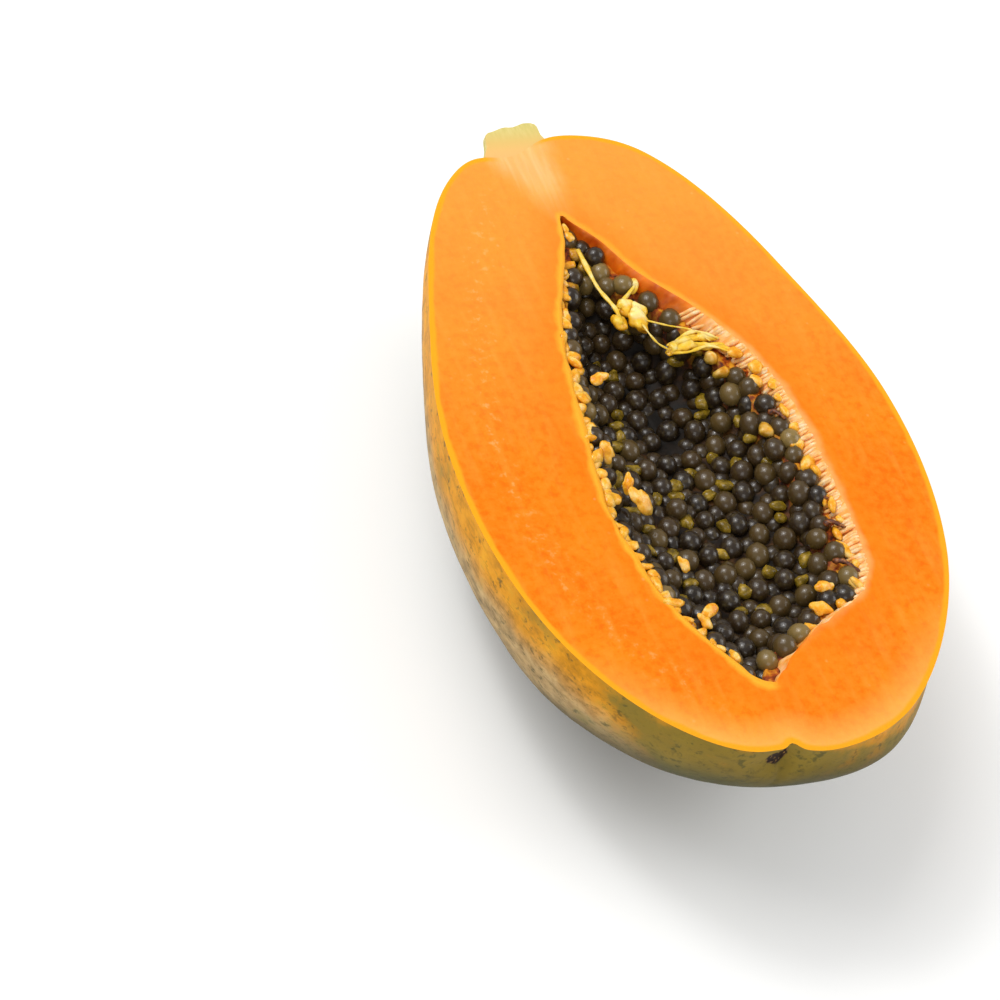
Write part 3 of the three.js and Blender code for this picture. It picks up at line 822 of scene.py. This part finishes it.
def stalk_material():
    """A papaya stalk, broken off and cut lengthwise: pale green, fibrous and dry at its top."""
    made, tree, shader = new_material("stalk, pale green, cut", {"Roughness": 0.6})
    place = millimetres(tree)
    split = node(tree, "SeparateXYZ", {0: place})
    stretched = node(tree, "Mapping", {"Vector": place, "Scale": (1, 0.25, 1)})
    fibres = node(tree, "TexNoise", {"Vector": stretched, "Scale": 1 / 1.0, "Detail": 3})
    mottle = node(tree, "TexNoise", {"Vector": place, "Scale": 1 / 4, "Detail": 2})
    colour = node(tree, "ValToRGB", {"Fac": fibres},
                  stops=[(0.3, "#B9AC50"), (0.5, "#CDBB66"), (0.7, "#DCCB84")])
    olive = node(tree, "MapRange", {"Value": mottle, "From Min": 0.56, "From Max": 0.68, "To Max": 0.3})
    colour = node(tree, "Mix", {0: olive, "A": colour, "B": "#9A9430"}, data_type="RGBA")
    on_cut = node(tree, "MapRange", {"Value": split.outputs["Z"], "From Min": -0.6, "From Max": -0.3})
    base = node(tree, "MapRange", {"Value": split.outputs["Y"], "From Min": 185, "From Max": 179,
                                   "To Min": 0.35})
    base = node(tree, "Math", {0: base, 1: on_cut}, operation="MULTIPLY")
    colour = node(tree, "Mix", {0: base, "A": colour, "B": stalk_tissue(tree, split)}, data_type="RGBA")
    join(tree, shader, colour, fibres, 0.3, 0.3)
    return made


def floor_material():
    """A plain pale table top, matt, with the faintest mottle."""
    made, tree, shader = new_material("table top, pale matt", {"Roughness": 0.55})
    place = node(tree, "TexCoord").outputs["Object"]
    mottle = node(tree, "TexNoise", {"Vector": place, "Scale": 6.0})
    colour = node(tree, "ValToRGB", {"Fac": mottle}, stops=[(0.0, "#FAFAF9"), (1.0, "#FDFDFC")])
    join(tree, shader, colour, mottle, 0.02, 1.0)
    return made


# Pieces

def finish(name, bm, materials, stands_for):
    """Brings a mesh into the frame and makes it a smooth piece that rides on the part."""
    bmesh.ops.transform(bm, matrix=TO_FRAME, verts=bm.verts)
    mesh = bpy.data.meshes.new(name)
    bm.to_mesh(mesh)
    bm.free()
    mesh.polygons.foreach_set("use_smooth", [True] * len(mesh.polygons))
    piece = bpy.data.objects.new(name, mesh)
    for material in materials:
        mesh.materials.append(material)
    bpy.context.scene.collection.objects.link(piece)
    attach(piece, "root")
    if stands_for:
        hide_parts(stands_for)
    return piece


def half_ball(bm, segments, rings, form, inward=False):
    """The lower half of a ball with its poles on y, moved by a form; gives its verts and faces."""
    poles = Matrix.Rotation(math.pi / 2, 4, "X")
    ball = bmesh.ops.create_uvsphere(bm, u_segments=segments, v_segments=rings, radius=1, matrix=poles)
    new = ball["verts"]
    faces = list({face for vert in new for face in vert.link_faces})
    edges = list({edge for vert in new for edge in vert.link_edges})
    kept = bmesh.ops.bisect_plane(bm, geom=new + edges + faces, dist=1e-5, plane_co=(0, 0, 0),
                                  plane_no=(0, 0, 1), clear_outer=True)["geom"]
    verts = [part for part in kept if isinstance(part, bmesh.types.BMVert) and part.is_valid]
    faces = [part for part in kept if isinstance(part, bmesh.types.BMFace) and part.is_valid]
    for vert in verts:
        vert.co = form(vert.co)
    if inward:
        bmesh.ops.reverse_faces(bm, faces=faces)
    return verts, faces


def rim_edges(faces):
    """The open edges round a set of faces."""
    return [edge for edge in {e for face in faces for e in face.edges} if edge.is_boundary]


def places_along(edges):
    """The places of the vertices along some edges."""
    return [vert.co.copy() for vert in {v for edge in edges for v in edge.verts}]


def distances(bm, name, verts, rim):
    """Stores each vertex's distance from a rim, in millimetres, as an attribute."""
    layer = bm.verts.layers.float.new(name)
    tree = kdtree.KDTree(len(rim))
    for i, point in enumerate(rim):
        tree.insert(point, i)
    tree.balance()
    for vert in verts:
        vert[layer] = tree.find(vert.co)[2]


def far_side(point):
    """How far a point is on the hollow's far side, 0 to 1."""
    return ease(point.x - hollow_edge(station(point.y))[0], -1.5, 1.5)


def uneven_wall(point):
    """Bulges of the hollow's wall and edge, and the ridges of the far wall's fibres."""
    bulge = relief(point, WALL_BULGES)
    far = far_side(point)
    fibrous = ease(-point.y, -128, -112) * far
    ridge = rough((point.x * 0.2, point.y, point.z * 0.3), 2.0, 1.9) * RIDGE_HEIGHT * fibrous
    return bulge * (0.55 + 0.5 * fibrous) + ridge


def fruit():
    """Skin, cut face and hollow wall of the half fruit, as one closed mesh."""
    bm = bmesh.new()
    _, shell = half_ball(bm, FRUIT_SEGMENTS, RINGS, fruit_point)
    skin_rim = rim_edges(shell)
    _, wall = half_ball(bm, HOLLOW_SEGMENTS, RINGS, hollow_point, inward=True)
    hollow_rim = rim_edges(wall)
    for face in wall:
        face.material_index = WALL
    skin_line = places_along(skin_rim)
    hollow_line = places_along(hollow_rim)
    rims = set(skin_rim + hollow_rim)
    flat = bmesh.ops.bridge_loops(bm, edges=skin_rim + hollow_rim)["faces"]
    for face in flat:
        face.material_index = FLESH
    across = list({e for face in flat for e in face.edges} - rims)
    bmesh.ops.subdivide_edges(bm, edges=across, cuts=FACE_CUTS, use_grid_fill=True)
    bmesh.ops.recalc_face_normals(bm, faces=bm.faces)

    face_verts = {v for face in bm.faces if face.material_index == FLESH for v in face.verts}
    for edge in skin_rim:
        edge.smooth = False
    distances(bm, "from_skin", bm.verts, skin_line)
    distances(bm, "from_hollow", bm.verts, hollow_line)
    shape_surface(bm, face_verts)
    finish("fruit", bm, [skin_material(), flesh_material(), wall_material()],
           "fruit_half")


def cut_move(at, from_skin, from_hollow, far):
    """How the knife's marks, the rind and the hollow's soft edge move a point of the cut face."""
    under_stalk = ease(at.y, 162, 168) * ease(-abs(at.x - STALK_X), -10.5, -7.5)
    knife = relief(at, KNIFE_MARKS) * (1 - under_stalk)
    edge = 0.3 * math.exp(-from_skin / 0.5) * (1 - under_stalk)
    edge += (0.7 + 0.7 * far) * math.exp(-from_hollow / (0.6 + 1.6 * far))
    side = uneven_wall(Vector((at.x, at.y, 0))) * math.exp(-from_hollow / 3.5)
    middle, _ = hollow_edge(station(at.y))
    outwards = 1 if at.x > middle else -1
    return Vector((outwards * side, 0, knife * 0.6 - edge))


def skin_rise(at):
    """How high the skin's waves are, fading out at the cut and at the spot that it rests on."""
    keep = clamp(-at.z / 4, 0, 1) * clamp((at.z + FRUIT_AT.z - 1.5) / 4, 0, 1)
    return keep * relief(at, SKIN_WAVES)


def shape_surface(bm, face_verts):
    """Relief of the skin, the cut face and the hollow's wall."""
    from_skin = bm.verts.layers.float["from_skin"]
    from_hollow = bm.verts.layers.float["from_hollow"]
    far = bm.verts.layers.float.new("far")
    bm.normal_update()
    moves = {}
    for vert in bm.verts:
        at = vert.co.copy()
        vert[far] = far_side(at)
        if vert in face_verts:
            moves[vert] = cut_move(at, vert[from_skin], vert[from_hollow], vert[far])
        elif any(face.material_index == WALL for face in vert.link_faces):
            moves[vert] = -vert.normal * uneven_wall(at)
        else:
            moves[vert] = vert.normal * skin_rise(at)
    for vert, move in moves.items():
        vert.co += move
        vert.co.z = max(vert.co.z, -FRUIT_AT.z)


def unit_ball():
    """A ball of few faces, from which the seeds are made."""
    bm = bmesh.new()
    bmesh.ops.create_uvsphere(bm, u_segments=10, v_segments=7, radius=1)
    mesh = bpy.data.meshes.new("ball")
    bm.to_mesh(mesh)
    bm.free()
    return mesh


def seed_ball(bm, ball, centre, size, turned, tone):
    """One seed in its coat: an egg of few faces, with its tone stored on it."""
    placed = Matrix.Translation(centre) @ Matrix.Rotation(turned[0], 4, "X")
    placed = placed @ Matrix.Rotation(turned[1], 4, "Y")
    placed = placed @ Matrix.Diagonal((SEED_ACROSS * size, SEED_ALONG * size, SEED_ACROSS * size, 1))
    first = len(bm.verts)
    bm.from_mesh(ball)
    bm.verts.ensure_lookup_table()
    layer = bm.verts.layers.float["tone"]
    for vert in bm.verts[first:]:
        vert.co = placed @ vert.co
        vert[layer] = tone


def pocket_shade(point):
    """How deep in the pocket under the strands a point lies, 0 to 1: the share of painted shade there."""
    across = (point.x - SHADE_POCKET_AT[0]) / SHADE_POCKET_SIZE[0]
    length = (point.y - SHADE_POCKET_AT[1]) / SHADE_POCKET_SIZE[1]
    return math.exp(-across ** 2 - length ** 2)


def extra_seed(bm, ball, spot, draw, size, tone=1):
    """A seed beside those of the solids, turned, sized and toned by draws, with painted shade in the
    pocket.
    """
    turned = (math.pi * next(draw), math.pi * next(draw))
    # Painted shade: a seed in the pocket is darkened towards its middle.
    light = tone * next(draw) * (1 - pocket_shade(spot))
    seed_ball(bm, ball, spot, size[0] + size[1] * next(draw), turned, light)


def rim_seeds(bm, ball, draw, centres):
    """Seeds along the rim, against the wall."""
    for side, count in RIM_SEEDS:
        for _ in range(count):
            y = SEEDS_FROM + (SEEDS_TO - SEEDS_FROM) * next(draw)
            spot = wall_spot(y, -RIM_SEED_DEPTH - 2 * next(draw), side)
            spot -= Vector((side * (RIM_SEED_OFF_WALL + next(draw)), 0, 0))
            if has_room(spot, centres, RIM_SEED_APART) and clear_of_pulp(spot, SEED_ALONG):
                centres.append(spot)
                extra_seed(bm, ball, spot, draw, RIM_SEED_SIZE)


def sunk_seeds(bm, ball, draw, centres):
    """Smaller seeds sunk in the gaps between the others, darkened by painted shade."""
    for _ in range(SUNK_SEED_TRIES):
        y = SEEDS_FROM + (SEEDS_TO - SEEDS_FROM) * next(draw)
        spot, inward = bed_spot(y, math.pi * next(draw))
        spot -= SUNK_SEED_BY * inward
        if has_room(spot, centres, SUNK_SEED_APART) and clear_of_pulp(spot, SEED_ALONG):
            centres.append(spot)
            extra_seed(bm, ball, spot, draw, SUNK_SEED_SIZE, SUNK_SEED_SHADED_TONE)


def seeds(draw):
    """The seeds of the solids, finer, with more along the rim and in the gaps; gives their centres."""
    bm = bmesh.new()
    bm.verts.layers.float.new("tone")
    ball = unit_ball()
    places = seed_places(draw)
    for _, centre, size, turned in places:
        # Painted shade: seeds in the pocket are darkened towards its middle.
        light = next(draw) ** 1.6
        seed_ball(bm, ball, centre, size, turned, light * (1 - pocket_shade(centre)))
    centres = [centre for _, centre, _, _ in places]
    rim_seeds(bm, ball, draw, centres)
    sunk_seeds(bm, ball, draw, centres)
    bpy.data.meshes.remove(ball)
    finish("seeds_in_coats", bm, [seed_material()], "seeds")
    return centres


def bed_point(p):
    """A point of the unit ball, moved onto the bed from wall to wall."""
    t = turn(p.y)
    ring = max(math.hypot(p.x, p.z), 1e-9)
    side = p.x / ring
    middle, half = hollow_edge(t)
    bed_middle, bed_half, depth = bed_section(t)
    x = middle + half * side
    inner = clamp((x - bed_middle) / max(bed_half, 0.1), -1, 1)
    z = -BED_RIM - depth * math.sqrt(1 - inner * inner)
    y = HOLLOW_LOW + (HOLLOW_HIGH - HOLLOW_LOW) * (1 + p.y) / 2
    return Vector((x, y, z))


def bed():
    """The bed of pulp that the seeds stand on."""
    bm = bmesh.new()
    edge = bm.verts.layers.float.new("edge")
    deep = bm.verts.layers.float.new("pocket_shade")
    verts, _ = half_ball(bm, BED_SEGMENTS, BED_RINGS, bed_point)
    bmesh.ops.recalc_face_normals(bm, faces=bm.faces)
    if sum(face.normal.z for face in bm.faces) < 0:
        bmesh.ops.reverse_faces(bm, faces=bm.faces)
    for vert in verts:
        middle, half, _ = bed_section(station(vert.co.y))
        vert[edge] = abs(vert.co.x - middle) / max(half, 0.1)
        # Painted shade: how much the pocket darkens the bed at this vertex.
        vert[deep] = pocket_shade(vert.co)
        vert.co.z += 0.9 * rough(vert.co, 3.0, 2.2)
    piece = finish("seed_bed", bm, [bed_material()], None)
    wall = piece.modifiers.new("thickness", "SOLIDIFY")
    wall.thickness = BED_THICKNESS * METRE
    wall.offset = -1


def lump(bm, centre, size, turned, fineness=2):
    """One small uneven lump of pulp."""
    placed = Matrix.Translation(centre) @ Matrix.Rotation(turned[0], 4, "Z")
    placed = placed @ Matrix.Rotation(turned[1], 4, "X") @ Matrix.Diagonal((*size, 1))
    for vert in bmesh.ops.create_icosphere(bm, subdivisions=fineness, radius=1, matrix=placed)["verts"]:
        vert.co += (vert.co - centre) * relief(vert.co, LUMP_WAVES)


def drops(bm, draw, centres):
    """Drops of pulp as large as seeds, sunk between them, but not in the pocket darkened by painted shade.
    """
    made = 0
    for _ in range(DROP_TRIES):
        y = SEEDS_FROM + (SEEDS_TO - SEEDS_FROM) * next(draw)
        spot, inward = bed_spot(y, math.pi * next(draw))
        spot += (0.1 + 1.1 * next(draw)) * inward
        dark = pocket_shade(spot) > 0.3
        if made < DROPS and not dark and has_room(spot, centres, DROP_APART):
            made += 1
            size = (1.6 + 0.9 * next(draw), 1.4 + 0.6 * next(draw), 1.2 + 0.5 * next(draw))
            lump(bm, spot, size, (math.pi * next(draw), 0.8 * next(draw)))
            centres.append(spot)


def rim_lumps(bm, draw):
    """Lumps of pulp along the rim, larger where they gather."""
    for side, count, start, end in RIM_LUMPS:
        for i in range(count):
            y = start + (end - start) * (i + 0.9 * next(draw)) / count
            spot = wall_spot(y, -0.7 - 1.8 * next(draw), side)
            clump = clamp(0.5 + 1.6 * rough((0, y, 0), 7, 9.1), 0, 1)
            spot.x -= side * (0.3 + 2.4 * clump * next(draw))
            grown = 0.7 + 0.6 * clump + 0.4 * next(draw)
            size = (grown * (1.2 + 0.9 * next(draw)), grown * (0.8 + 0.5 * next(draw)), 0.7 * grown)
            lump(bm, spot, size, (math.pi * next(draw), 0.8 * next(draw)))


def arils(draw, centres):
    """Yellow pulp: drops between the seeds, and lumps and flaps along the rim."""
    bm = bmesh.new()
    drops(bm, draw, centres)
    rim_lumps(bm, draw)
    for at, size, turned in PULP_FLAPS:
        lump(bm, Vector(at), size, turned, 4)
    finish("pulp_between_seeds", bm, [pulp_material()], None)


def fringe(draw):
    """Thin ridges of torn flesh fibres, half sunk in the far wall, from the cut edge to the seeds."""
    bm = bmesh.new()
    y = FRINGE_FROM
    while y < FRINGE_TO:
        y += 0.5 + 1.3 * next(draw)
        lean = 3.4 * (next(draw) - 0.4)
        reach = 3.0 + 3.4 * next(draw)
        thick = 0.34 + 0.36 * next(draw)
        proud = 0.5 * next(draw)
        top = wall_spot(y, -0.7, 1) + Vector((0.35, 0, 0.1))
        low = wall_spot(y + lean, -0.7 - reach, 1)
        middle = wall_spot(y + 0.3 * lean, -0.7 - 0.5 * reach, 1) - Vector((proud, 0, 0))
        under = top + Vector((1.4, 0, -0.2))
        path = smooth_path([under, top, middle, low], len(FRINGE_SWELL) - 1)
        radii = [thick * size for size in FRINGE_SWELL]
        tube(bm, path, radii, 8)
    bmesh.ops.recalc_face_normals(bm, faces=bm.faces)
    finish("fringe_fibres", bm, [fringe_material()], None)


def dried_strips(draw):
    """Brown dried shreds of seed coat that lie over the fringe."""
    bm = bmesh.new()
    for start, end in DRIED_STRIPS:
        path = []
        for i in range(len(SHRED_SWELL)):
            share = i / (len(SHRED_SWELL) - 1)
            at = Vector(start).lerp(Vector(end), share)
            curl = 0.7 * math.sin(5 * share + 6 * next(draw) * (i == 0))
            path.append(at + Vector((0, curl, 0.5 * math.sin(math.pi * share))))
        tube(bm, path, [SHRED_THICKNESS * size for size in SHRED_SWELL], 7)
    bmesh.ops.recalc_face_normals(bm, faces=bm.faces)
    finish("dried_shreds", bm, [shred_material()], None)


def ring_edges(ring):
    """The edges that lie wholly in a ring of vertices."""
    touching = {edge for vert in ring for edge in vert.link_edges}
    return [edge for edge in touching if edge.verts[0] in ring and edge.verts[1] in ring]


def tube(bm, path, radii, sides, flat=1.0):
    """A closed tube of changing radius along a path, flattened from above if asked."""
    loops = []
    for i, at in enumerate(path):
        ahead = path[min(i + 1, len(path) - 1)] - path[max(i - 1, 0)]
        matrix = Matrix.Translation(at) @ ahead.to_track_quat("Z", "Y").to_matrix().to_4x4()
        matrix = matrix @ Matrix.Diagonal((1, flat, 1, 1))
        ring = bmesh.ops.create_circle(bm, segments=sides, radius=radii[i], matrix=matrix)["verts"]
        loops.append(ring)
    for one, other in zip(loops, loops[1:]):
        bmesh.ops.bridge_loops(bm, edges=ring_edges(one) + ring_edges(other))
    for ring in (loops[0], loops[-1]):
        bmesh.ops.contextual_create(bm, geom=ring_edges(ring))


def strands(draw):
    """The strands and blobs of pulp over the seeds, finer, with thin threads beside them."""
    bm = bmesh.new()
    for width, threads, points in FINE_STRANDS:
        for side in range(1 + threads):
            shift = Vector((next(draw) - 0.5, next(draw) - 0.5, 0.5 * next(draw) - 0.25)) * (side > 0)
            shift *= 1 + width
            path = smooth_path([Vector(p) + shift * (0.3 + next(draw)) for p in points], STRAND_STEPS)
            thick = width * (1 if side == 0 else 0.3 + 0.25 * next(draw))
            radii = [thick * (0.6 + 0.9 * abs(rough(at, 3.0, side))) for at in path]
            tube(bm, path, radii, 10, 0.6)
    for at, size, turned in PULP_FOLDS:
        lump(bm, Vector(at), size, turned, 4)
    bmesh.ops.recalc_face_normals(bm, faces=bm.faces)
    finish("pulp_threads", bm, [strand_material()], "pulp_strands")


def stalk():
    """The stub of stalk, cut lengthwise with the fruit."""
    bm = bmesh.new()
    verts = [bm.verts.new((radius, height, 0)) for radius, height in STALK_PROFILE]
    edges = [bm.edges.new(pair) for pair in zip(verts, verts[1:])]
    bmesh.ops.spin(bm, geom=verts + edges, cent=(0, 0, 0), axis=(0, 1, 0), dvec=(0, 0, 0),
                   angle=2 * math.pi, steps=96, use_merge=True)
    bmesh.ops.remove_doubles(bm, verts=bm.verts, dist=1e-4)
    bmesh.ops.subdivide_edges(bm, edges=bm.edges, cuts=2, use_grid_fill=True)
    for vert in bm.verts:
        around = math.atan2(vert.co.z, vert.co.x)
        rib = 1 + 0.03 * math.cos(STALK_RIBS * around) + 0.05 * rough(vert.co, 3)
        vert.co = Vector((vert.co.x * rib, vert.co.y, vert.co.z * rib))
        vert.co.y += 0.5 * rough(vert.co, 2.5, 6) * clamp((vert.co.y - 11) / 3, 0, 1)
        vert.co.y += STALK_SLANT * vert.co.x
    placed = Matrix.Translation((STALK_X, STALK_ROOT, 0)) @ Matrix.Rotation(-STALK_LEAN, 4, "Z")
    bmesh.ops.transform(bm, matrix=placed, verts=bm.verts)
    cut = bmesh.ops.bisect_plane(bm, geom=bm.verts[:] + bm.edges[:] + bm.faces[:], dist=1e-4,
                                 plane_co=(0, 0, STALK_CUT), plane_no=(0, 0, 1),
                                 clear_outer=True)["geom_cut"]
    rim = [part for part in cut if isinstance(part, bmesh.types.BMEdge)]
    for edge in rim:
        edge.smooth = False
    bmesh.ops.contextual_create(bm, geom=rim)
    bmesh.ops.recalc_face_normals(bm, faces=bm.faces)
    finish("stalk", bm, [stalk_material()], "stem_stub")


# Setting

def floor():
    """A plain table top under the fruit."""
    bm = bmesh.new()
    bmesh.ops.create_grid(bm, x_segments=1, y_segments=1, size=TABLE_HALF)
    mesh = bpy.data.meshes.new("table_top")
    bm.to_mesh(mesh)
    bm.free()
    mesh.materials.append(floor_material())
    piece = bpy.data.objects.new("table_top", mesh)
    bpy.context.scene.collection.objects.link(piece)


def area_light(name, at, size, power):
    """A soft square light that looks at the fruit."""
    data = bpy.data.lights.new(name, "AREA")
    data.size = size
    data.energy = power
    made = bpy.data.objects.new(name, data)
    made.location = at
    made.rotation_euler = (LIT_SPOT - Vector(at)).to_track_quat("-Z", "Y").to_euler()
    bpy.context.scene.collection.objects.link(made)


def lights():
    """Soft studio light, brightest from above and behind the fruit's left side."""
    for light in LIGHTS:
        area_light(*light)
    world = bpy.data.worlds.new("studio")
    world.use_nodes = True
    background = world.node_tree.nodes["Background"]
    background.inputs["Color"].default_value = shade("#FFFFFF")
    background.inputs["Strength"].default_value = ROOM_LIGHT
    bpy.context.scene.world = world
    bpy.context.scene.view_settings.view_transform = "Standard"


def camera():
    """The photograph's view: from the blossom end's left, well above, and rolled."""
    data = bpy.data.cameras.new("camera")
    data.lens = LENS
    data.sensor_width = SENSOR_WIDTH
    data.clip_start = 0.01
    made = bpy.data.objects.new("camera", data)
    back = CAMERA_RIGHT.cross(CAMERA_UP)
    turned = Matrix((CAMERA_RIGHT, CAMERA_UP, back)).transposed().to_4x4()
    made.matrix_world = Matrix.Translation(TO_FRAME @ CAMERA_AT) @ turned
    bpy.context.scene.collection.objects.link(made)
    bpy.context.scene.camera = made


def build():
    """The pieces, which share one row of draws, and their setting."""
    draw = draws(DRAW_START)
    fruit()
    centres = seeds(draw)
    bed()
    arils(draw, centres)
    fringe(draw)
    dried_strips(draw)
    strands(draw)
    stalk()
    floor()
    lights()
    camera()


build()
